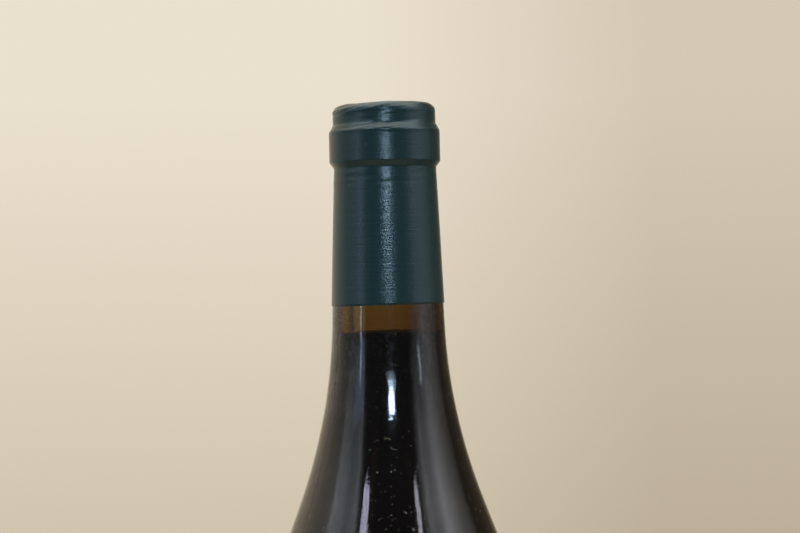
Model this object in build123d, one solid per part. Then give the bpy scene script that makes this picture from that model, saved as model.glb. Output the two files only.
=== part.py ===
from build123d import *
from math import atan2, radians, tan
import os

# A full 75 cl Burgundy wine bottle: the glass, the wine in it and the capsule over its
# mouth. Millimetres, +Z up the bottle's axis, origin at the middle of the ring it stands
# on. Every piece is a closed section in X (radius) and Z (height), turned about the axis.

# Overall
bottle_height = 296.0           # from the standing ring to the top of the lip
body_diameter = 82.0

# Finish: the lip and the collar below it, both covered by the capsule.
# Depths down the neck are measured from the top of the lip.
lip_diameter = 27.3
lip_height = 5.4
lip_round = 2.3                 # the lip's top outer edge
collar_diameter = 29.5
collar_height = 7.9
collar_slope = 1.7              # height of the sloped step from the lip to the collar
collar_underside = 1.6          # height of the sloped step from the collar to the neck
collar_round = 0.7              # every corner of the collar
neck_top_diameter = 27.2        # just below the collar

# Neck and shoulder: two straight runs and the body, joined by large arcs
neck_taper = 2.24               # degrees from the axis, on each side
neck_length = 83.2              # depth where the neck's line meets the shoulder's line
shoulder_angle = 20.5           # degrees from the axis
neck_blend_radius = 150.0
shoulder_radius = 150.0

# Base
heel_radius = 8.0
standing_ring_width = 4.5       # from the heel's arc in to the corner of the punt
punt_depth = 27.0
punt_top_radius = 6.5           # where the punt's side would meet its top if left sharp
punt_top_round = 11.0
punt_rim_round = 2.5

# Inside of the glass
mouth_bore = 18.5
mouth_round = 1.0               # the lip's inner edge
neck_bore = 19.2
bore_length = 79.0              # depth where the bore's line meets the shoulder's inner line
body_wall = 2.8
base_wall = 4.5
bore_blend_radius = 100.0
trough_round = 3.5              # the two corners of the trough around the punt

# Contents
fill_depth = 60.8               # from the top of the lip down to the wine's surface

# Capsule
capsule_wall = 0.15
capsule_clearance = 0.05        # between the capsule and the glass it is spun onto
capsule_length = 53.4           # from the top of the lip down to the capsule's lower edge


def section(corners):
    """A closed flat region from its corners, each a radius, a height and a rounding."""
    outline = FilletPolyline(
        *[(radius, height) for radius, height, rounding in corners],
        radius=[rounding for radius, height, rounding in corners],
        close=True,
    )
    return make_face(outline)


def band(low, high):
    """A flat region on the positive side of the axis between two heights."""
    reach = body_diameter
    return Pos(0, low) * Rectangle(reach, high - low, align=(Align.MIN, Align.MIN))


def turn(region):
    """The solid that a section sweeps about the bottle's axis."""
    return revolve(Plane.XZ * region, Axis.Z)


# ---- Shared places ------------------------------------------------------------------

body_radius = body_diameter / 2
punt_rim_radius = body_radius - heel_radius - standing_ring_width

collar_top = bottle_height - lip_height - collar_slope
collar_bottom = collar_top - collar_height
neck_top = collar_bottom - collar_underside
neck_corner = bottle_height - neck_length
neck_corner_radius = neck_top_diameter / 2 + (neck_top - neck_corner) * tan(radians(neck_taper))
body_corner = neck_corner - (body_radius - neck_corner_radius) / tan(radians(shoulder_angle))

# The cavity's side is the body's wall inside the glass, and so is its shoulder where it
# meets the body. Above that the wall thickens, up to the straight bore in the neck.
cavity_radius = body_radius - body_wall
bore_corner = bottle_height - bore_length
cavity_corner = body_corner - body_wall * tan(radians(shoulder_angle) / 2)
cavity_shoulder_radius = shoulder_radius - body_wall

# The cavity's floor lies the base wall above the punt, measured square to the punt's side.
punt_slope = atan2(punt_depth, punt_rim_radius - punt_top_radius)
floor_mitre = base_wall * tan(punt_slope / 2)
floor_rim_radius = punt_rim_radius + floor_mitre
floor_top_radius = punt_top_radius + floor_mitre
floor_top_round = punt_top_round + base_wall

wine_level = bottle_height - fill_depth
capsule_edge = bottle_height - capsule_length

# ---- Sections -----------------------------------------------------------------------

# The bottle's outside, filled to the axis, with the punt left out of its base
outside = section([
    (0, bottle_height, 0),
    (lip_diameter / 2, bottle_height, lip_round),
    (lip_diameter / 2, bottle_height - lip_height, collar_round),
    (collar_diameter / 2, collar_top, collar_round),
    (collar_diameter / 2, collar_bottom, collar_round),
    (neck_top_diameter / 2, neck_top, collar_round),
    (neck_corner_radius, neck_corner, neck_blend_radius),
    (body_radius, body_corner, shoulder_radius),
    (body_radius, 0, heel_radius),
    (punt_rim_radius, 0, punt_rim_round),
    (punt_top_radius, punt_depth, punt_top_round),
    (0, punt_depth, 0),
])

# All the space inside the glass, from its floor to its mouth
cavity = section([
    (0, bottle_height, 0),
    (mouth_bore / 2, bottle_height, 0),
    (neck_bore / 2, bore_corner, bore_blend_radius),
    (cavity_radius, cavity_corner, cavity_shoulder_radius),
    (cavity_radius, base_wall, trough_round),
    (floor_rim_radius, base_wall, trough_round),
    (floor_top_radius, punt_depth + base_wall, floor_top_round),
    (0, punt_depth + base_wall, 0),
])


# ---- Pieces -------------------------------------------------------------------------

def make_bottle():
    """The glass: the outside less the cavity, with the lip's inner edge rounded."""
    wall = outside - cavity
    mouth_corner = wall.vertices().sort_by_distance((mouth_bore / 2, bottle_height))[0]
    return turn(fillet(mouth_corner, mouth_round))


def make_wine():
    """The wine fills the cavity up to its level and meets the glass face to face."""
    return turn(cavity & band(0, wine_level))


def make_capsule():
    """A thin one-piece skin that follows the closed mouth, the collar and the neck."""
    inner = offset(outside, capsule_clearance)
    outer = offset(outside, capsule_clearance + capsule_wall)
    covered = band(capsule_edge, bottle_height + capsule_clearance + capsule_wall)
    return turn((outer - inner) & covered)


pieces = {
    "bottle": make_bottle(),
    "wine": make_wine(),
    "capsule": make_capsule(),
}

os.makedirs("parts", exist_ok=True)
for name, piece in pieces.items():
    export_step(piece, f"parts/{name}.step")
    print(f"{name}: {piece.volume / 1000:.1f} ml")
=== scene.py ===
# %% [markdown]
# # A full bottle of red wine
# This lesson dresses a finished CAD model of a wine bottle. The CAD gives three pieces:
# the glass, the wine in it and the thin metal capsule over its mouth. Here each of them
# becomes a smooth mesh with a believable surface, in a small pale studio.
#
# The first step loads the CAD model as a fixed frame. Every piece made later sits in the
# same place and at the same size, so its box is kept now.

import math

import bmesh
import bpy
from mathutils import Matrix, Vector, noise
from mathutils.bvhtree import BVHTree


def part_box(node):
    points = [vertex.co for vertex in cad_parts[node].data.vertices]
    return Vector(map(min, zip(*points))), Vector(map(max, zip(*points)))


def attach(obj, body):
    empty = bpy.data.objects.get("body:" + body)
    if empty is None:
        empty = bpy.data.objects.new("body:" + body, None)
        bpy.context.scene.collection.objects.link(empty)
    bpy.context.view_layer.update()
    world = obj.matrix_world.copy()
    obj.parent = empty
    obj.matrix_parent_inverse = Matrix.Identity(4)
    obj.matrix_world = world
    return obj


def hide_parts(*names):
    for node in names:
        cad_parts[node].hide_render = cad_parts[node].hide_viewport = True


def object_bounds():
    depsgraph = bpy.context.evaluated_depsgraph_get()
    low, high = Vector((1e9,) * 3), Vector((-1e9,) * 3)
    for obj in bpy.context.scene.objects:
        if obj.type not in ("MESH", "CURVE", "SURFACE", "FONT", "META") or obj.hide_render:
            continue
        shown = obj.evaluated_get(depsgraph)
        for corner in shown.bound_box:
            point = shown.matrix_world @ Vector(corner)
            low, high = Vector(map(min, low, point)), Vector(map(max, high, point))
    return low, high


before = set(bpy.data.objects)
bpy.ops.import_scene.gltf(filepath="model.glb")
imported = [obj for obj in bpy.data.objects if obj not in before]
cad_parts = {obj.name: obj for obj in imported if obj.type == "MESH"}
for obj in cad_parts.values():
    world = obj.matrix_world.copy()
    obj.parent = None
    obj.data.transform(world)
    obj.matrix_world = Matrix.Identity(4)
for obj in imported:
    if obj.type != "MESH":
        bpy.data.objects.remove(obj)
cad_low, cad_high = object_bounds()
print("CAD box, mm:", [round(1000 * (high - low), 1) for low, high in zip(cad_low, cad_high)])

# %% [markdown]
# ## Two small helpers for sizes and colours
# Blender works in metres and in linear light. A maker thinks in millimetres and picks
# colours as hex codes, so one helper turns millimetres into metres and another turns a
# hex code into linear colour.

# %% Units and colours


def mm(value):
    """Millimetres as metres."""
    return value / 1000


def linear(code):
    """An sRGB hex colour such as "#1d3337" as a linear RGBA tuple."""
    parts = [int(code[i:i + 2], 16) / 255 for i in (1, 3, 5)]
    light = [p / 12.92 if p <= 0.04045 else ((p + 0.055) / 1.055) ** 2.4 for p in parts]
    return (*light, 1.0)


print("mid grey #808080 is", round(linear("#808080")[0], 3), "in linear light")

# %% [markdown]
# ## The camera
# The bottle is looked at with a long lens from a hand's height below its mouth, so its neck
# fills the view and the rest runs out of the bottom. The camera is held a little
# crooked, which makes the bottle lean to the left by just over a degree.

# %% Camera
bottle_top = cad_high.z
eye_below_top = mm(46)
eye_distance = mm(599)
aim_right_of_axis = mm(3.46)
aim_above_eye = mm(2.56)
camera_lean = math.radians(-1.26)

eye = Vector((0, -eye_distance, bottle_top - eye_below_top))
aim = Vector((aim_right_of_axis, 0, eye.z + aim_above_eye))
lens = bpy.data.cameras.new("camera")
lens.lens = 100
lens.sensor_width = 36
lens.clip_start = 0.01
lens.clip_end = 50
camera = bpy.data.objects.new("camera", lens)
camera.location = eye
upright = (aim - eye).to_track_quat("-Z", "Y").to_matrix()
camera.rotation_euler = (upright @ Matrix.Rotation(camera_lean, 3, "Z")).to_euler()
bpy.context.collection.objects.link(camera)
bpy.context.scene.camera = camera
bpy.context.scene.view_settings.view_transform = "Standard"
print("eye at", [round(1000 * c) for c in eye], "mm")

# %% [markdown]
# ## Drawing a half outline
# A bottle is round, so each piece can be made as a potter would: draw half of its outline
# and turn it once about the axis. The outline is a few corners joined by straight runs, and
# most corners are rounded. Blender's spin operator turns a single point about the centre
# of each rounding, which leaves a true arc behind it.

# %% Draw an outline
ARC_STEP = math.radians(5)      # the most that one edge of an arc may turn
ARC_REACH = mm(2.5)             # the longest edge in a large arc


def draw_outline(corners):
    """An outline in the XZ plane from (radius, height, rounding) corners in millimetres."""
    bm = bmesh.new()
    points = [Vector((mm(radius), 0, mm(height))) for radius, height, rounding in corners]
    pen = bm.verts.new(points[0])
    for i in range(1, len(points)):
        rounding = mm(corners[i][2])
        if rounding and i + 1 < len(points):
            back = (points[i - 1] - points[i]).normalized()
            ahead = (points[i + 1] - points[i]).normalized()
            half = back.angle(ahead) / 2
            start = points[i] + back * rounding / math.tan(half)
            end = points[i] + ahead * rounding / math.tan(half)
            centre = points[i] + (back + ahead).normalized() * rounding / math.sin(half)
            turned = math.pi - 2 * half
            steps = math.ceil(max(turned / ARC_STEP, rounding * turned / ARC_REACH))
            pen = line_to(bm, pen, start)
            arc = bmesh.ops.spin(bm, geom=[pen], cent=centre, angle=turned, steps=steps,
                                 axis=(start - centre).cross(end - centre))
            pen = arc["geom_last"][0]
        else:
            pen = line_to(bm, pen, points[i])
    return bm


def line_to(bm, pen, point):
    """Extrudes the outline's last point in a straight line and gives the new last point."""
    new = bmesh.ops.extrude_vert_indiv(bm, verts=[pen])["verts"][0]
    bmesh.ops.translate(bm, verts=[new], vec=point - new.co)
    return new


# %% [markdown]
# ## Turning it, and finishing a piece
# One full spin makes the round shape. Its first and last columns are merged, and so are the
# points that lie on the axis, so the skin is closed. Every finished piece is shaded smooth,
# rides on the bottle's one body, and takes the materials it is given.

# %% Turn and finish


def turn_outline(bm, segments):
    """Spins the outline once about the Z axis and closes its seam and its poles."""
    bmesh.ops.spin(bm, geom=bm.verts[:] + bm.edges[:], cent=(0, 0, 0), axis=(0, 0, 1),
                   angle=math.tau, steps=segments, use_merge=True)
    bmesh.ops.remove_doubles(bm, verts=bm.verts[:], dist=mm(0.001))
    bmesh.ops.recalc_face_normals(bm, faces=bm.faces[:])


def finish_piece(bm, name, materials):
    """Makes the mesh a smooth-shaded piece that rides on the bottle's one body."""
    mesh = bpy.data.meshes.new(name)
    bm.to_mesh(mesh)
    bm.free()
    mesh.shade_smooth()
    for material in materials:
        mesh.materials.append(material)
    piece = bpy.data.objects.new(name, mesh)
    bpy.context.collection.objects.link(piece)
    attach(piece, "root")
    size = [round(1000 * side, 1) for side in piece.dimensions]
    print(f"{name}: {len(mesh.polygons)} faces, {size} mm")
    return piece


# %% [markdown]
# ## A helper for materials
# A procedural material is a small graph of nodes. This helper adds one node, sets its
# settings and fills its inputs, either with a value or with a link from another node.

# %% Material graphs


def new_material(name):
    """An empty material with its output, as (material, tree, output)."""
    material = bpy.data.materials.new(name)
    material.use_nodes = True
    tree = material.node_tree
    tree.nodes.clear()
    return material, tree, tree.nodes.new("ShaderNodeOutputMaterial")


def add_node(tree, kind, inputs=None, **settings):
    """Adds a node with its settings; inputs are values or another node's output."""
    node = tree.nodes.new("ShaderNode" + kind)
    for key, value in settings.items():
        setattr(node, key, value)
    for key, value in (inputs or {}).items():
        if isinstance(value, bpy.types.NodeSocket):
            tree.links.new(value, node.inputs[key])
        else:
            node.inputs[key].default_value = value
    return node


# %% [markdown]
# ## Brown bottle glass
# The bottle is blown soda-lime glass of the colour called dead leaf: the iron and sulphur in
# it swallow blue light, so thin glass looks amber and thick glass brown. A clear surface
# with an index of 1.52 and a volume that absorbs light does the same, and its colour
# deepens with the thickness of the wall by itself.
#
# Blown glass is never quite flat: the iron mould leaves long soft waves, and wear leaves
# short faint ripples. Bottles also rub together on the line, and hands and machines hold
# them by the neck. That leaves two things: a haze of fine scuffs, made as a second, rough
# gloss in patches over the smooth one, and tiny chips that each lean their own way, which
# break up the ends of a lamp's mirror image.
#
# A little dust has settled on it, more on the shoulder, which faces up. A speck hides the
# glass: there the material is rough, grey and lets no light through. Every cell of the
# pattern holds one speck of its own size, and a quarter of the cells hold none.

# %% Dust
DUST_SPACING, DUST_RADIUS = mm(1.8), mm(0.17)
MOTE_SPACING, MOTE_RADIUS = mm(0.85), mm(0.10)
BARE_CELLS = 0.25               # share of the cells with no speck


def add_dust(tree, place, spacing, radius, settled):
    """How much of each point is hidden by specks up to a radius; settled scales them."""
    cells = add_node(tree, "TexVoronoi", {"Vector": place, "Scale": 1 / spacing})
    chance = add_node(tree, "SeparateXYZ", {0: cells.outputs["Color"]}).outputs["X"]
    size = add_node(tree, "MapRange", {"Value": chance,
                                       "From Min": BARE_CELLS}).outputs["Result"]
    largest = add_node(tree, "Math", {0: settled, 1: radius / spacing}, operation="MULTIPLY")
    reach = add_node(tree, "Math", {0: largest.outputs["Value"], 1: size}, operation="MULTIPLY")
    inner = add_node(tree, "Math", {0: reach.outputs["Value"], 1: 0.6}, operation="MULTIPLY")
    return add_node(tree, "MapRange", {
        "Value": cells.outputs["Distance"], "From Min": reach.outputs["Value"],
        "From Max": inner.outputs["Value"]}).outputs["Result"]


# %% Glass material
GLASS_INDEX = 1.52
GLASS_WAVE = mm(16)             # length of the mould's soft waves
SCUFF_RIPPLE = mm(0.9)          # length of the ripples that wear leaves
SCUFF_GRAIN = mm(0.8)           # size of one scuff, drawn four times as coarse as real
SCUFF_CHIP = mm(0.27)           # size of a tilted chip, drawn five times as coarse as real
CHIP_TILT = 0.10                # how far a chip may lean, as a slope
SCUFF_PATCH = mm(7)             # size of a scuffed patch
HANDLED_FROM, HANDLED_TO = mm(206), mm(226)   # hands and machines hold the neck above this
GUARDED_FROM, GUARDED_TO = mm(230), mm(234)   # the capsule's hem guards the glass above this


def make_glass():
    material, tree, output = new_material("blown_brown_bottle_glass")
    place = add_node(tree, "TexCoord").outputs["Object"]
    height = add_node(tree, "SeparateXYZ", {0: place}).outputs["Z"]
    waves = add_node(tree, "TexNoise", {"Vector": place, "Scale": 1 / GLASS_WAVE,
                                        "Detail": 1.0})
    soft = add_node(tree, "Bump", {"Height": waves.outputs["Fac"], "Distance": mm(0.10)})

    # Where and how much the glass is worn
    patches = add_node(tree, "TexNoise", {"Vector": place, "Scale": 1 / SCUFF_PATCH,
                                          "Detail": 2.0})
    worn = add_node(tree, "MapRange", {"Value": patches.outputs["Fac"], "From Min": 0.35,
                                       "From Max": 0.60, "To Min": 0.3, "To Max": 1.0})
    handled = add_node(tree, "MapRange", {
        "Value": height, "From Min": HANDLED_FROM, "From Max": HANDLED_TO, "To Min": 0.25,
        "To Max": 1.0}, interpolation_type="SMOOTHSTEP")
    rubbing = add_node(tree, "Math", {0: worn.outputs["Result"], 1: handled.outputs["Result"]},
                       operation="MULTIPLY")

    ripples = add_node(tree, "TexNoise", {"Vector": place, "Scale": 1 / SCUFF_RIPPLE,
                                          "Detail": 2.0, "Distortion": 1.0})
    rubbed = add_node(tree, "Math", {0: ripples.outputs["Fac"], 1: worn.outputs["Result"]},
                      operation="MULTIPLY")
    rippled = add_node(tree, "Bump", {"Height": rubbed.outputs["Value"], "Distance": mm(0.013),
                                      "Normal": soft.outputs["Normal"]})

    # The haze of scuffs
    grain = add_node(tree, "TexNoise", {"Vector": place, "Scale": 1 / SCUFF_GRAIN,
                                        "Detail": 2.0})
    scuffs = add_node(tree, "MapRange", {"Value": grain.outputs["Fac"], "From Min": 0.46,
                                         "From Max": 0.56, "To Max": 0.6})
    haze = add_node(tree, "Math", {0: scuffs.outputs["Result"], 1: rubbing.outputs["Value"]},
                    operation="MULTIPLY")

    # The chips: four cells in ten lean, each its own way
    flat = add_node(tree, "Mapping", {"Vector": place, "Scale": (0.8, 0.8, 1.3)})
    chips = add_node(tree, "TexVoronoi", {"Vector": flat.outputs["Vector"],
                                          "Scale": 1 / SCUFF_CHIP})
    chance = add_node(tree, "SeparateXYZ", {0: chips.outputs["Color"]}).outputs["Y"]
    chipped = add_node(tree, "MapRange", {"Value": chance, "From Min": 0.60, "From Max": 0.62,
                                          "To Max": CHIP_TILT})
    guarded = add_node(tree, "MapRange", {"Value": height, "From Min": GUARDED_FROM,
                                          "From Max": GUARDED_TO, "To Min": 1.0,
                                          "To Max": 0.25})
    chipping = add_node(tree, "Math", {0: rubbing.outputs["Value"],
                                       1: guarded.outputs["Result"]}, operation="MULTIPLY")
    steepness = add_node(tree, "Math", {0: chipped.outputs["Result"],
                                        1: chipping.outputs["Value"]}, operation="MULTIPLY")
    centred = add_node(tree, "VectorMath", {0: chips.outputs["Color"], 1: (0.5, 0.5, 0.5)},
                       operation="SUBTRACT")
    leaning = add_node(tree, "VectorMath", {0: centred.outputs["Vector"],
                                            "Scale": steepness.outputs["Value"]},
                       operation="SCALE")
    tilted = add_node(tree, "VectorMath", {0: rippled.outputs["Normal"],
                                           1: leaning.outputs["Vector"]})
    chipped_wall = add_node(tree, "VectorMath", {0: tilted.outputs["Vector"]},
                            operation="NORMALIZE")

    # The dust
    facing = add_node(tree, "NewGeometry").outputs["Normal"]
    up = add_node(tree, "SeparateXYZ", {0: facing}).outputs["Z"]
    settled = add_node(tree, "MapRange", {"Value": up, "From Min": 0.0, "From Max": 0.35,
                                          "To Min": 0.5, "To Max": 1.1}).outputs["Result"]
    specks = add_dust(tree, place, DUST_SPACING, DUST_RADIUS, settled)
    motes = add_dust(tree, place, MOTE_SPACING, MOTE_RADIUS, settled)
    dust = add_node(tree, "Math", {0: specks, 1: motes}, operation="MAXIMUM").outputs["Value"]
    colour = add_node(tree, "Mix", {"Factor": dust, "A": (1, 1, 1, 1), "B": linear("#77746e")},
                      data_type="RGBA")
    rough = add_node(tree, "MapRange", {"Value": dust, "To Min": 0.03, "To Max": 0.9})
    clear = add_node(tree, "MapRange", {"Value": dust, "To Min": 1.0, "To Max": 0.0})
    glass = add_node(tree, "BsdfPrincipled", {
        "Base Color": colour.outputs[2], "Roughness": rough.outputs["Result"],
        "IOR": GLASS_INDEX, "Transmission Weight": clear.outputs["Result"],
        "Normal": chipped_wall.outputs["Vector"], "Coat Weight": haze.outputs["Value"],
        "Coat Roughness": 0.14, "Coat IOR": 1.5, "Coat Normal": rippled.outputs["Normal"]})
    tint = add_node(tree, "VolumeAbsorption", {"Color": linear("#b9a118"), "Density": 430.0})
    tree.links.new(glass.outputs["BSDF"], output.inputs["Surface"])
    tree.links.new(tint.outputs["Volume"], output.inputs["Volume"])
    return material


glass_material = make_glass()
print("glass material:", len(glass_material.node_tree.nodes), "nodes")

# %% [markdown]
# ## The glass
# The outline runs from the middle of the punt, round the heel, up the body and the neck,
# over the lip and back down the inside, so the turned shell has its real wall: almost
# 6 mm in the neck and under 3 mm in the body. The sizes are those of the CAD model.

# %% Glass outline
bottle_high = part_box("bottle")[1]
height = 1000 * bottle_high.z
body_radius = 1000 * bottle_high.x

lip_radius, collar_radius, neck_top_radius = 13.65, 14.75, 13.6
collar_top, collar_bottom, neck_top = height - 7.1, height - 15.0, height - 16.6
neck_taper, shoulder_angle = math.radians(2.24), math.radians(20.5)
neck_corner = height - 83.2
neck_corner_radius = neck_top_radius + (neck_top - neck_corner) * math.tan(neck_taper)
body_corner = neck_corner - (body_radius - neck_corner_radius) / math.tan(shoulder_angle)
wall, floor_wall = 2.8, 4.5
punt_rim, punt_depth, punt_top = 28.5, 27.0, 6.5
floor_mitre = floor_wall * math.tan(math.atan2(punt_depth, punt_rim - punt_top) / 2)
bore_corner, neck_bore_radius, mouth_radius = height - 79.0, 9.6, 9.25
cavity_corner = body_corner - wall * math.tan(shoulder_angle / 2)

outside = [
    (0, punt_depth, 0),
    (punt_top, punt_depth, 11),
    (punt_rim, 0, 2.5),
    (body_radius, 0, 8),
    (body_radius, body_corner, 150),
    (neck_corner_radius, neck_corner, 150),
    (neck_top_radius, neck_top, 0.7),
    (collar_radius, collar_bottom, 0.7),
    (collar_radius, collar_top, 0.7),
    (lip_radius, height - 5.4, 0.7),
    (lip_radius, height, 2.3),
]
inside = [
    (mouth_radius, height, 1.0),
    (neck_bore_radius, bore_corner, 100),
    (body_radius - wall, cavity_corner, 150 - wall),
    (body_radius - wall, floor_wall, 3.5),
    (punt_rim + floor_mitre, floor_wall, 3.5),
    (punt_top + floor_mitre, punt_depth + floor_wall, 15.5),
    (0, punt_depth + floor_wall, 0),
]
print("wall at the foot of the neck:", round(neck_corner_radius - neck_bore_radius, 1), "mm")

# %% Turn the glass
GLASS_SEGMENTS = 256
glass_mesh = draw_outline(outside + inside)
turn_outline(glass_mesh, GLASS_SEGMENTS)
print("glass:", len(glass_mesh.faces), "faces")

# %% [markdown]
# ## Mould seams and a knurled foot
# A bottle is blown in an iron mould of two halves. Where they meet, glass creeps into the
# joint and leaves a thin raised seam on each side, from the heel to the neck. Three cuts of
# the outer wall, side by side, give it a middle line, which is then pushed out.
#
# The bottle stands on a knurled ring: short bars that keep the hot glass off the conveyor
# and hide its scratches. Every second pair of columns of that ring is raised a little.

# %% Mould seams
SEAM_HALF_WIDTH, SEAM_HEIGHT = mm(0.22), mm(0.10)
SEAM_AZIMUTH = math.tau / GLASS_SEGMENTS * -107.5      # the middle of a column of faces
SEAM_FROM, SEAM_TO = mm(8), mm(neck_top - 1)
SEAM_FADE_LOW, SEAM_FADE_HIGH = mm(4), mm(2)           # it rises from the wall over these
CUT_TOLERANCE = 1e-6                                   # in metres


def raise_seams(bm):
    """Cuts the outer wall beside the mould's joint and pushes out the middle of the cuts."""
    across = Vector((-math.sin(SEAM_AZIMUTH), math.cos(SEAM_AZIMUTH), 0))
    for offset in (-SEAM_HALF_WIDTH, 0, SEAM_HALF_WIDTH):
        bm.normal_update()
        wall_faces = []
        for face in bm.faces:
            middle = face.calc_center_median()
            outward = face.normal.x * middle.x + face.normal.y * middle.y > 0
            if outward and SEAM_FROM - mm(1) < middle.z < SEAM_TO:
                wall_faces.append(face)
        edges = {edge for face in wall_faces for edge in face.edges}
        verts = {vert for face in wall_faces for vert in face.verts}
        cut = bmesh.ops.bisect_plane(bm, geom=wall_faces + list(edges) + list(verts),
                                     dist=CUT_TOLERANCE, plane_co=across * offset,
                                     plane_no=across)["geom_cut"]
        if offset == 0:
            middle_line = [item for item in cut if isinstance(item, bmesh.types.BMVert)]
    for vert in middle_line:
        outward = Vector((vert.co.x, vert.co.y, 0)).normalized()
        ends = min(1, (vert.co.z - SEAM_FROM) / SEAM_FADE_LOW,
                   (SEAM_TO - vert.co.z) / SEAM_FADE_HIGH)
        vert.co += outward * SEAM_HEIGHT * max(ends, 0)
    return len(middle_line)


print(raise_seams(glass_mesh), "points on the seams")

# %% Knurled foot
KNURL_DEPTH = mm(0.22)
KNURL_INNER, KNURL_OUTER = 30.5, 33.2                  # radii of the ring, in mm


def knurl_foot(bm):
    """Raises every second pair of points round the standing ring."""
    count = 0
    for vert in bm.verts:
        radius = 1000 * math.hypot(vert.co.x, vert.co.y)
        turn = math.atan2(vert.co.y, vert.co.x) / math.tau + 0.5
        raised = round(turn * GLASS_SEGMENTS) // 2 % 2 == 0
        if KNURL_INNER < radius < KNURL_OUTER and vert.co.z < mm(1) and raised:
            vert.co.z += KNURL_DEPTH
            count += 1
    return count


print(knurl_foot(glass_mesh), "points in the knurl")
glass_surface = BVHTree.FromBMesh(glass_mesh)
glass = finish_piece(glass_mesh, "glass", [glass_material])
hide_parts("bottle")

# %% [markdown]
# ## Two fibres of lint
# Two short textile fibres cling to the dusty shoulder. A fibre is a thin tube with a curl: a
# tiny disc spun through an arc that drifts a little. It is then laid flat on the glass, where
# a ray from the front meets it.

# %% Lay a fibre
FIBRE = mm(0.07)                # its thickness, drawn three times as thick as real
FIBRE_STEPS = 24                # lengths of the tube along its curl


def add_fibre(bm, right, up, curl, turned, tilt, climb):
    """Lays one curled fibre on the front of the glass; sizes in mm, angles in degrees."""
    bm.verts.ensure_lookup_table()
    first = len(bm.verts)
    on_edge = Matrix.Translation((mm(curl), 0, 0)) @ Matrix.Rotation(math.radians(90), 4, "X")
    disc = bmesh.ops.create_circle(bm, cap_ends=True, segments=6, radius=FIBRE / 2,
                                   matrix=on_edge)["verts"]
    edges = list({edge for vert in disc for edge in vert.link_edges})
    bmesh.ops.spin(bm, geom=disc + edges + list(disc[0].link_faces), cent=(0, 0, 0),
                   axis=(0, 0, 1), angle=math.radians(turned),
                   dvec=(mm(climb) / FIBRE_STEPS, 0, 0), steps=FIBRE_STEPS)

    in_front = Vector((mm(right), -0.1, mm(up)))
    spot, normal, _, _ = glass_surface.ray_cast(in_front, Vector((0, 1, 0)))
    lie = normal.to_track_quat("Z", "Y").to_matrix().to_4x4()
    turn = Matrix.Rotation(math.radians(tilt), 4, "Z")
    bm.verts.ensure_lookup_table()
    bmesh.ops.transform(bm, verts=bm.verts[first:],
                        matrix=Matrix.Translation(spot + normal * FIBRE / 2) @ lie @ turn)


# %% Lint


def make_lint():
    material, tree, output = new_material("grey_cotton_lint")
    place = add_node(tree, "TexCoord").outputs["Object"]
    uneven = add_node(tree, "TexNoise", {"Vector": place, "Scale": 1 / mm(0.4)})
    colour = add_node(tree, "Mix", {"Factor": uneven.outputs["Fac"], "A": linear("#4a453e"),
                                    "B": linear("#8f877a")}, data_type="RGBA")
    cotton = add_node(tree, "BsdfPrincipled", {"Base Color": colour.outputs[2],
                                               "Roughness": 0.9})
    tree.links.new(cotton.outputs["BSDF"], output.inputs["Surface"])
    return material


lint_mesh = bmesh.new()
add_fibre(lint_mesh, -0.8, 207.2, 0.55, 140, 20, 0.5)
add_fibre(lint_mesh, 0.5, 206.2, 0.7, 95, 215, 0.8)
bmesh.ops.recalc_face_normals(lint_mesh, faces=lint_mesh.faces[:])
finish_piece(lint_mesh, "lint_fibres", [make_lint()])

# %% [markdown]
# ## Red wine
# Red wine swallows green and blue light within a millimetre and red light within a few, so
# a whole bottle of it is almost black. A solid dark colour therefore stands for it. In the
# thin rim that climbs the glass, the meniscus, a hint of red is painted in: painted light,
# for the light that shines through so little wine.
#
# What the eye sees is mostly a mirror image in its surface. Where wine meets air, its index
# is 1.345. Where it meets glass, what counts is the small step from 1.52 to 1.345, a
# ratio of 1.13, so almost nothing is mirrored there. The piece reaches a fifth of a
# millimetre into the wall, so that no film of air is left between wine and glass.

# %% Wine materials
WINE_INDEX = 1.345
RIM_LIT_THROUGH = 1.5                   # depth in mm over which red is painted in, as light shining through the thin rim
level = 1000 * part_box("wine")[1].z
print("wine up to", round(level, 1), "mm")


def make_wine(name, index):
    material, tree, output = new_material(name)
    height = add_node(tree, "SeparateXYZ", {0: add_node(tree, "TexCoord").outputs["Object"]})
    depth = add_node(tree, "MapRange", {"Value": height.outputs["Z"],
                                        "From Min": mm(level - RIM_LIT_THROUGH),
                                        "From Max": mm(level)})
    # Painted light: the colour turns red towards the level, for light shining through the thin
    # rim
    red = add_node(tree, "Mix", {"Factor": depth.outputs["Result"], "A": linear("#0d0506"),
                                 "B": linear("#3a120c")}, data_type="RGBA")
    liquid = add_node(tree, "BsdfPrincipled", {
        "Base Color": red.outputs[2], "Roughness": 0.02, "IOR": index})
    tree.links.new(liquid.outputs["BSDF"], output.inputs["Surface"])
    return material


# %% Turn the wine
REACH_INTO_WALL = 0.2           # mm
MENISCUS = 1.2                  # mm that the rim stands above the middle
WINE_SEGMENTS = 192


def meets_air(face):
    """True for a face of the wine's free surface."""
    return face.calc_center_median().z > mm(level - MENISCUS - 0.2) and face.normal.z > 0.3


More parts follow.
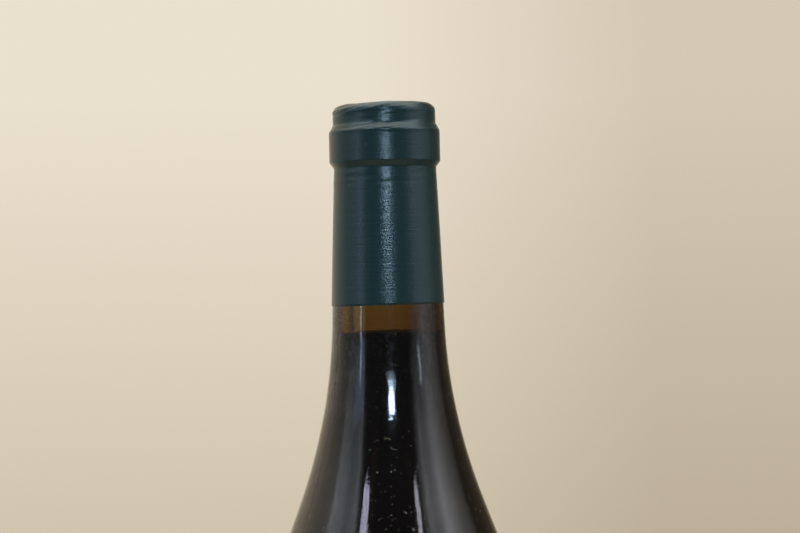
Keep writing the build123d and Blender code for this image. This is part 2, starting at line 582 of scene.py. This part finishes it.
bore_at_level = neck_bore_radius + REACH_INTO_WALL
surface = [
    (0, level - MENISCUS, 0),
    (bore_at_level - 2.4, level - MENISCUS, 3.0),
    (bore_at_level, level, 0),
]
body = [
    (bore_at_level, bore_corner, 93),
    (body_radius - wall + REACH_INTO_WALL, cavity_corner, 150 - wall),
    (body_radius - wall + REACH_INTO_WALL, floor_wall - REACH_INTO_WALL, 3.7),
    (punt_rim + floor_mitre, floor_wall - REACH_INTO_WALL, 3.7),
    (punt_top + floor_mitre, punt_depth + floor_wall - REACH_INTO_WALL, 15.5),
    (0, punt_depth + floor_wall - REACH_INTO_WALL, 0),
]
wine_mesh = draw_outline(surface + body)
turn_outline(wine_mesh, WINE_SEGMENTS)
for face in wine_mesh.faces:
    face.material_index = int(meets_air(face))
wine = finish_piece(wine_mesh, "wine_fill", [
    make_wine("red_wine_against_glass", GLASS_INDEX / WINE_INDEX),
    make_wine("red_wine_surface", WINE_INDEX)])
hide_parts("wine")

# %% [markdown]
# ## The capsule
# A capsule is drawn from thin tin and spun onto the neck by rubber wheels, after it has been
# lacquered. The lacquer is a satin dark teal with a trace of metal in it. The wheels leave
# fine rings around it, and close up the lacquer has a leathery grain.
#
# Rings, grain and the finest wrinkles over the lip are too shallow to change its outline, so
# they are bump. The wrinkles lie almost level and climb a little to the right. A curve over
# the height says where they are deep: just above the collar and along the top edge.

# %% Capsule material
SPIN_RING = mm(0.6)             # spacing of the rings left by the wheels
LEATHER_GRAIN = mm(0.45)        # size of the lacquer's grain
WRINKLE_PITCH = mm(0.7)         # fine wrinkles over the lip, drawn twice as coarse as real
WRINKLE_SLOPE = 0.10            # how steeply they climb to the right
WRINKLE_STRETCH = 0.14          # their height as a share of their length
WRINKLED_HEAD = mm(10)          # the part below the top that is wrinkled
WRINKLE_DEPTHS = [              # share of that part's height, share of the full depth
    (0.20, 0.05), (0.30, 1.0), (0.48, 1.0), (0.58, 0.25), (0.72, 0.3), (0.85, 1.0)]
TIN_DUST_SPACING, TIN_DUST_RADIUS = mm(2.4), mm(0.16)


def make_lacquered_tin():
    material, tree, output = new_material("satin_lacquer_on_spun_tin")
    place = add_node(tree, "TexCoord").outputs["Object"]
    flat = add_node(tree, "Mapping", {"Vector": place, "Scale": (0.03, 0.03, 1.0)})
    rings = add_node(tree, "TexNoise", {"Vector": flat.outputs["Vector"],
                                        "Scale": 1 / SPIN_RING, "Detail": 3.0})
    grain = add_node(tree, "TexNoise", {"Vector": place, "Scale": 1 / LEATHER_GRAIN,
                                        "Detail": 3.0, "Distortion": 0.5})
    low = add_node(tree, "Bump", {"Height": rings.outputs["Fac"], "Distance": mm(0.055)})
    high = add_node(tree, "Bump", {"Height": grain.outputs["Fac"], "Distance": mm(0.038),
                                   "Normal": low.outputs["Normal"]})
    specks = add_dust(tree, place, TIN_DUST_SPACING, TIN_DUST_RADIUS, 1.0)
    colour = add_node(tree, "Mix", {"Factor": specks, "A": linear("#163133"),
                                    "B": linear("#7b8480")}, data_type="RGBA")

    lean = add_node(tree, "VectorMath", {0: place, 1: (-WRINKLE_SLOPE, 0, 1)},
                    operation="DOT_PRODUCT")
    around = add_node(tree, "VectorMath", {0: place, 1: (WRINKLE_STRETCH, WRINKLE_STRETCH, 0)},
                      operation="MULTIPLY")
    upward = add_node(tree, "CombineXYZ", {"Z": lean.outputs["Value"]})
    along = add_node(tree, "VectorMath", {0: around.outputs["Vector"],
                                          1: upward.outputs["Vector"]})
    wrinkles = add_node(tree, "TexNoise", {"Vector": along.outputs["Vector"],
                                           "Scale": 1 / WRINKLE_PITCH, "Detail": 2.0})
    up = add_node(tree, "SeparateXYZ", {0: place}).outputs["Z"]
    head = add_node(tree, "MapRange", {"Value": up, "From Min": cad_high.z - WRINKLED_HEAD,
                                       "From Max": cad_high.z})
    folds = add_node(tree, "FloatCurve", {"Value": head.outputs["Result"]})
    points = folds.mapping.curves[0].points
    for at, depth in WRINKLE_DEPTHS:
        points.new(at, depth)
    points[0].location = (0, WRINKLE_DEPTHS[0][1])
    folds.mapping.update()
    creased = add_node(tree, "Math", {0: wrinkles.outputs["Fac"], 1: folds.outputs["Value"]},
                       operation="MULTIPLY")
    folded = add_node(tree, "Bump", {"Height": creased.outputs["Value"], "Distance": mm(0.17),
                                     "Normal": high.outputs["Normal"]})
    lacquer = add_node(tree, "BsdfPrincipled", {
        "Base Color": colour.outputs[2], "Metallic": 0.25, "Roughness": 0.25, "IOR": 1.5,
        "Normal": folded.outputs["Normal"]})
    tree.links.new(lacquer.outputs["BSDF"], output.inputs["Surface"])
    return material


lacquered_tin = make_lacquered_tin()
print("capsule material:", len(lacquered_tin.node_tree.nodes), "nodes")

# %% [markdown]
# ## Turning and creasing the capsule
# The capsule's outline follows the lip and the collar of the neck a fifth of a millimetre
# away. Tin that is pressed over a corner has too much length to lose, so it creases: in
# slanting pleats round its top edge, on the step above the collar and just below it. The
# creases are moved vertices, made before the skin gets its thickness.

# %% Capsule outline
SKIN, GAP = 0.15, 0.05          # the tin's thickness and its clearance from the glass, in mm
out = SKIN + GAP
capsule_edge = 1000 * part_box("capsule")[0].z
crown = height + out + 0.3      # the disc stands a little proud of the lip
creased_to = collar_bottom - 10
hem_from = capsule_edge + 4


def skirt_radius(z):
    """The radius of the capsule's skin where it lies on the tapered neck."""
    return neck_top_radius + (neck_top - z) * math.tan(neck_taper) + out


capsule_outline = [
    (0, crown, 0),
    (lip_radius + out, crown, 2.3),
    (lip_radius + out, height - 4.9, 1.2),
    (collar_radius + out, collar_top + 0.3, 1.3),
    (collar_radius + out, collar_bottom, 0.7),
    (neck_top_radius + out, neck_top, 0.9),
    (skirt_radius(creased_to), creased_to, 0),
    (skirt_radius(hem_from), hem_from, 0),
    (skirt_radius(capsule_edge), capsule_edge, 0),
]
print("capsule from", round(capsule_edge, 1), "to", round(crown, 1), "mm")

# %% Turn the capsule
CAPSULE_SEGMENTS = 320
DISC_RINGS = 16


def ring_spacing(z):
    """How far apart the capsule's rings of points are at a height: close where it creases."""
    if z > collar_top:
        return 0.3
    if z > creased_to:
        return 0.5
    return 2.0 if z > hem_from else 0.8


capsule_mesh = draw_outline(capsule_outline)
for edge in list(capsule_mesh.edges):
    z = 1000 * (edge.verts[0].co.z + edge.verts[1].co.z) / 2
    cuts = math.ceil(1000 * edge.calc_length() / ring_spacing(z)) - 1
    if cuts > 0:
        on_disc = z > crown - 0.1
        bmesh.ops.subdivide_edges(capsule_mesh, edges=[edge],
                                  cuts=DISC_RINGS if on_disc else cuts)
turn_outline(capsule_mesh, CAPSULE_SEGMENTS)
print("capsule:", len(capsule_mesh.verts), "points")

# %% Creases
CREASE_SLOPE = 0.11             # how steeply the creases climb to the right
PLEAT_DEPTH, STEP_DEPTH, COLLAR_DEPTH, DENT_DEPTH = 0.30, 0.16, 0.10, 0.03    # mm


def near(value, middle, reach):
    """1 at the middle, falling smoothly to 0 at the reach on either side."""
    away = min(abs(value - middle) / reach, 1.0)
    return (1 - away * away) ** 2


def crease(point, pitch, seed):
    """Long creases between -1 and 1 round the neck, a pitch apart, that climb to the right."""
    x, y, z = point
    coarse = noise.noise(Vector((x / 9, y / 9 + seed, (z - CREASE_SLOPE * x) / pitch)))
    steeper = 1.4 * CREASE_SLOPE * x
    fine = noise.noise(Vector((x / 6, y / 6 - seed, 2.1 * (z - steeper) / pitch)))
    return coarse + 0.45 * fine


def crease_depth(point):
    """How far a point of the skin moves out of its round shape; all sizes in mm."""
    x, y, z = point
    left_of_front = 0.6 + 0.7 * near(math.hypot(x + 9, y + 11), 0, 14)
    top_edge = near(z, height - 0.6, 3.0) * near(math.hypot(x, y), 13.5, 5)
    pleats = PLEAT_DEPTH * left_of_front * top_edge * crease(point, 1.2, 3)
    step = STEP_DEPTH * near(z, height - 6.0, 2.0) * crease(point, 1.1, 7)
    under_collar = COLLAR_DEPTH * near(z, collar_bottom - 4.0, 5.0) * crease(point, 1.2, 11)
    return pleats + step + under_collar + DENT_DEPTH * noise.noise(point / 9)


# %% Crease the capsule
TOP_TILT = 0.2                  # mm that the top edge is higher, 14 mm to the right
HEM_TILT = 0.14                 # mm that the hem is higher, 15 mm to the right
HEM_WAVE = 0.05                 # mm

capsule_mesh.normal_update()
shifts = {}
for vertex in capsule_mesh.verts:
    x, y, z = point = 1000 * vertex.co
    shift = vertex.normal * mm(crease_depth(point))
    if z > height - 5:
        shift.z += mm(TOP_TILT * x / 14)
    wave = HEM_WAVE * noise.noise(Vector((x, y, 5)) / 6)
    shift.z += mm((HEM_TILT * x / 15 + wave) * near(z, capsule_edge, 4))
    shifts[vertex] = shift
for vertex, shift in shifts.items():
    vertex.co += shift
bmesh.ops.recalc_face_normals(capsule_mesh, faces=capsule_mesh.faces[:])
bmesh.ops.solidify(capsule_mesh, geom=capsule_mesh.faces[:], thickness=mm(SKIN))
print("deepest move:", round(1000 * max(shift.length for shift in shifts.values()), 2), "mm")
capsule = finish_piece(capsule_mesh, "capsule_skin", [lacquered_tin])
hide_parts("capsule")

# %% [markdown]
# ## The floor
# The floor is pale matt paper that fades out into a plain cream backdrop, so that no horizon
# shows. Under a real bottle there is often only a small table, and it is what the underside
# of the collar mirrors. So in gloss the floor is a small brown table, and past its edge the
# walls of the room carry on downwards. Seen directly it stays pale paper all over.

# %% Floor
FLOOR_RADIUS = 1.35             # all in metres from the bottle
FADE_FROM = 0.6                 # where the paper starts to fade out
TABLE_FROM, TABLE_TO = 0.12, 0.34              # where the table ends, in gloss


def make_floor():
    material, tree, output = new_material("matt_cream_paper")
    place = add_node(tree, "TexCoord").outputs["Object"]
    away = add_node(tree, "VectorMath", {0: place}, operation="LENGTH")
    fade = add_node(tree, "MapRange", {
        "Value": away.outputs["Value"], "From Min": FADE_FROM,
        "From Max": FLOOR_RADIUS * 0.98}, interpolation_type="SMOOTHSTEP")
    table_edge = add_node(tree, "MapRange", {
        "Value": away.outputs["Value"], "From Min": TABLE_FROM, "From Max": TABLE_TO},
        interpolation_type="SMOOTHSTEP")
    path = add_node(tree, "LightPath")
    tone = add_node(tree, "Mix", {"Factor": path.outputs["Is Glossy Ray"],
                                  "A": linear("#b7b4aa"), "B": linear("#9c8872")},
                    data_type="RGBA")
    paper = add_node(tree, "BsdfDiffuse", {"Color": tone.outputs[2]})
    clear = add_node(tree, "BsdfTransparent")
    gone = add_node(tree, "Mix", {"Factor": path.outputs["Is Glossy Ray"],
                                  "A": fade.outputs["Result"],
                                  "B": table_edge.outputs["Result"]})
    mixed = add_node(tree, "MixShader", {0: gone.outputs["Result"], 1: paper.outputs["BSDF"],
                                         2: clear.outputs["BSDF"]})
    tree.links.new(mixed.outputs["Shader"], output.inputs["Surface"])
    return material


floor_mesh = bmesh.new()
bmesh.ops.create_circle(floor_mesh, cap_ends=True, segments=96, radius=FLOOR_RADIUS)
floor_data = bpy.data.meshes.new("floor")
floor_mesh.to_mesh(floor_data)
floor_mesh.free()
floor_data.materials.append(make_floor())
floor_piece = bpy.data.objects.new("floor", floor_data)
bpy.context.collection.objects.link(floor_piece)
print("floor:", 2 * FLOOR_RADIUS, "m across")

# %% [markdown]
# ## The room
# Gloss needs something to mirror, so the world is also a simple room: a bright wall behind,
# window light at both sides and a dim room in front. A table gives its brightness and colour
# in steps round the bottle, once at the bottle's own height and once high up, because
# windows are brighter towards the sky. One colour ramp is made from each column.
#
# What stands behind the bottle on its left shows only through the glass, as a yellow-green
# glow in the space above the wine. The camera sees none of the room: it sees the backdrop.

# %% The room's colours
ROOM = [  # azimuth seen from the bottle, brightness at its height and high up, colour
    (-180, 1.00, 1.30, "#eadfcd"),
    (-172, 1.05, 1.35, "#eaddc8"),
    (-162, 1.02, 1.40, "#eaddc4"),
    (-152, 0.80, 1.40, "#eadabc"),
    (-140, 0.85, 1.40, "#eadcc0"),
    (-120, 0.90, 1.40, "#eadecc"),
    (-100, 0.58, 1.50, "#e8e0d2"),
    (-90, 0.42, 1.90, "#e2deda"),
    (-87, 0.42, 2.00, "#e4e4e6"),
    (-84, 0.45, 4.10, "#e4e4e6"),
    (-80, 0.46, 3.60, "#e0e3ea"),
    (-68, 0.54, 2.50, "#dde2ea"),
    (-62, 0.42, 1.80, "#dde2ea"),
    (-53, 0.45, 2.10, "#dde2ea"),
    (-50, 0.52, 2.60, "#dde2ea"),
    (-46, 0.12, 0.70, "#e0e3e8"),
    (-42, 0.12, 0.12, "#e4e4e4"),
    (38, 0.11, 0.11, "#e4e4e4"),
    (44, 0.12, 1.30, "#e2e4ea"),
    (49, 0.24, 2.90, "#e2e4ec"),
    (57, 0.42, 2.30, "#e2e4ec"),
    (65, 0.68, 3.10, "#e4e5ea"),
    (72, 0.85, 5.00, "#e6e6ea"),
    (82, 0.92, 3.50, "#e6e4e6"),
    (94, 0.66, 2.00, "#e4e0dc"),
    (108, 0.38, 0.90, "#e0dad2"),
    (114, 0.20, 0.24, "#d8c8b0"),
    (148, 0.22, 0.25, "#d8c098"),
    (158, 0.40, 0.45, "#e4d0a8"),
    (168, 0.85, 0.90, "#eadcc0"),
    (180, 1.00, 1.30, "#eadfcd"),
]
PEAK = 5.0                      # the brightness that a ramp's colour of 1 stands for


def dimmed(code, brightness):
    """A ramp's colour for a hex colour at a brightness."""
    return [c * brightness / PEAK for c in linear(code)[:3]] + [1.0]


def add_room_ramp(tree, share, column):
    """A ramp round the room from one brightness column of the table."""
    ramp = add_node(tree, "ValToRGB", {"Fac": share})
    stops = ramp.color_ramp.elements
    stops.remove(stops[-1])
    for i, row in enumerate(ROOM):
        at = (row[0] + 180) / 360
        stop = stops[0] if i == 0 else stops.new(at)
        stop.position = at
        stop.color = dimmed(row[3], row[column])
    return ramp.outputs["Color"]


print(len(ROOM), "steps round the room")

# %% Walls, windows and ceiling
CEILING = 3.5
HIGH_UP = 0.60                  # the sine of the elevation at which the room is brightest
SIDE_GLOW = math.radians(-145)  # azimuth of the glow that shows only through glass
SIDE_GLOW_BRIGHTNESS = 1.9


def add_room(tree, split):
    """What gloss and glass see in each direction."""
    front = add_node(tree, "Math", {0: split.outputs["Y"], 1: -1.0}, operation="MULTIPLY")
    azimuth = add_node(tree, "Math", {0: split.outputs["X"], 1: front.outputs["Value"]},
                       operation="ARCTAN2")
    share = add_node(tree, "MapRange", {"Value": azimuth.outputs["Value"], "From Min": -math.pi,
                                        "From Max": math.pi}).outputs["Result"]
    rise = add_node(tree, "MapRange", {"Value": split.outputs["Z"], "From Min": 0.02,
                                       "From Max": HIGH_UP})
    climb = add_node(tree, "Math", {0: rise.outputs["Result"], 1: 1.5}, operation="POWER")
    walls = add_node(tree, "Mix", {"Factor": climb.outputs["Value"],
                                   "A": add_room_ramp(tree, share, 1),
                                   "B": add_room_ramp(tree, share, 2)}, data_type="RGBA")
    above = add_node(tree, "MapRange", {"Value": split.outputs["Z"], "From Min": 0.70,
                                        "From Max": 0.88}, interpolation_type="SMOOTHSTEP")
    below = add_node(tree, "MapRange", {"Value": split.outputs["Z"], "From Min": -0.75,
                                        "From Max": -0.25}, interpolation_type="SMOOTHSTEP")
    upper = add_node(tree, "Mix", {"Factor": above.outputs["Result"], "A": walls.outputs[2],
                                   "B": dimmed("#ece8e0", CEILING)}, data_type="RGBA")
    whole = add_node(tree, "Mix", {"Factor": below.outputs["Result"],
                                   "A": (0.03, 0.025, 0.02, 1), "B": upper.outputs[2]},
                     data_type="RGBA")

    off_glow = add_node(tree, "Math", {0: azimuth.outputs["Value"], 1: SIDE_GLOW},
                        operation="SUBTRACT")
    aside = add_node(tree, "Math", {0: off_glow.outputs["Value"]}, operation="ABSOLUTE")
    near_glow = add_node(tree, "MapRange", {
        "Value": aside.outputs["Value"], "From Min": 0.12, "From Max": 0.42, "To Min": 1.0,
        "To Max": 0.0}, interpolation_type="SMOOTHSTEP")
    path = add_node(tree, "LightPath")
    through = add_node(tree, "Math", {0: near_glow.outputs["Result"],
                                      1: path.outputs["Is Transmission Ray"]},
                       operation="MULTIPLY")
    lit = add_node(tree, "Mix", {"Factor": through.outputs["Value"], "A": whole.outputs[2],
                                 "B": dimmed("#d2edb2", SIDE_GLOW_BRIGHTNESS)},
                   data_type="RGBA", blend_type="ADD")
    return add_node(tree, "Background", {"Color": lit.outputs[2], "Strength": PEAK})


# %% Backdrop


def add_backdrop(tree, split):
    """What the camera sees: cream paper, a little darker low down and to the right."""
    upward = add_node(tree, "MapRange", {"Value": split.outputs["Z"], "From Min": -0.12,
                                         "From Max": 0.08})
    wall = add_node(tree, "Mix", {"Factor": upward.outputs["Result"], "A": linear("#cfc3ac"),
                                  "B": linear("#eae0ce")}, data_type="RGBA")
    sideways = add_node(tree, "MapRange", {"Value": split.outputs["X"], "From Min": -0.01,
                                           "From Max": 0.12})
    shaded = add_node(tree, "Mix", {
        "Factor": sideways.outputs["Result"], "A": wall.outputs[2],
        "B": linear("#e8e4e0")}, data_type="RGBA", blend_type="MULTIPLY")
    ahead = add_node(tree, "MapRange", {"Value": split.outputs["Y"], "From Min": 0.94,
                                        "From Max": 0.975}, interpolation_type="SMOOTHSTEP")
    sweep = add_node(tree, "Mix", {"Factor": ahead.outputs["Result"], "A": linear("#eae1d1"),
                                   "B": shaded.outputs[2]}, data_type="RGBA")
    return add_node(tree, "Background", {"Color": sweep.outputs[2], "Strength": 1.0})


# %% World
def make_world():
    world = bpy.data.worlds.new("studio")
    world.use_nodes = True
    tree = world.node_tree
    tree.nodes.clear()
    output = tree.nodes.new("ShaderNodeOutputWorld")
    toward = add_node(tree, "TexCoord").outputs["Generated"]
    split = add_node(tree, "SeparateXYZ", {0: toward})
    path = add_node(tree, "LightPath")
    mixed = add_node(tree, "MixShader", {
        0: path.outputs["Is Camera Ray"], 1: add_room(tree, split).outputs["Background"],
        2: add_backdrop(tree, split).outputs["Background"]})
    tree.links.new(mixed.outputs["Shader"], output.inputs["Surface"])
    return world


bpy.context.scene.world = make_world()
print("world:", len(bpy.context.scene.world.node_tree.nodes), "nodes")

# %% [markdown]
# ## Lamps
# The flash stands near the camera and gives the white spot on the neck. Narrow lamps at the
# sides give the thin streaks along the neck and the broad ones down the shoulder. Each is
# placed by the direction and the angle at which the neck sees it, because that, and not its
# distance, decides where its mirror image falls. Its brightness is that of its face.

# %% Lamps
AIMED_AT = Vector((0, 0, mm(220)))             # the middle of the bare neck


def add_lamp(name, azimuth, elevation, width, tall, distance, brightness, code,
             shape="RECTANGLE"):
    """A flat lamp that faces the neck; angles in degrees, as seen from the neck."""
    a, e = math.radians(azimuth), math.radians(elevation)
    toward = Vector((math.sin(a) * math.cos(e), -math.cos(a) * math.cos(e), math.sin(e)))
    light = bpy.data.lights.new(name, "AREA")
    light.shape = shape
    light.size = 2 * distance * math.tan(math.radians(width) / 2)
    light.size_y = 2 * distance * math.tan(math.radians(tall) / 2)
    area = light.size * light.size_y * (math.pi / 4 if shape == "ELLIPSE" else 1)
    light.energy = brightness * math.pi * area
    light.color = linear(code)[:3]
    lamp = bpy.data.objects.new(name, light)
    lamp.location = AIMED_AT + toward * distance
    lamp.rotation_euler = toward.to_track_quat("Z", "Y").to_euler()
    lamp.visible_camera = False
    bpy.context.collection.objects.link(lamp)


add_lamp("flash", 2.6, 15.4, 10.5, 4.4, 0.6, 58, "#cde3ff", "ELLIPSE")
add_lamp("left_strip", -57, 6.6, 3.4, 9.0, 1.8, 4.2, "#c9d4ee")
add_lamp("left_glow", -57.5, 11.0, 16, 10.5, 1.9, 0.8, "#a9c4fa")
add_lamp("right_strip", 60.5, 8.4, 4.0, 4.2, 1.8, 5.0, "#ccd6f8")
add_lamp("left_spot", -38.1, 37, 4.4, 19, 1.8, 8.2, "#e4e2ff")
add_lamp("left_spot_edge", -33.9, 37, 2.4, 18, 1.8, 8.2, "#e4e2ff")
add_lamp("right_spot", 34.2, 37.7, 4.4, 20, 1.8, 6.3, "#f2f0ff")
print(len(bpy.data.lights), "lamps")
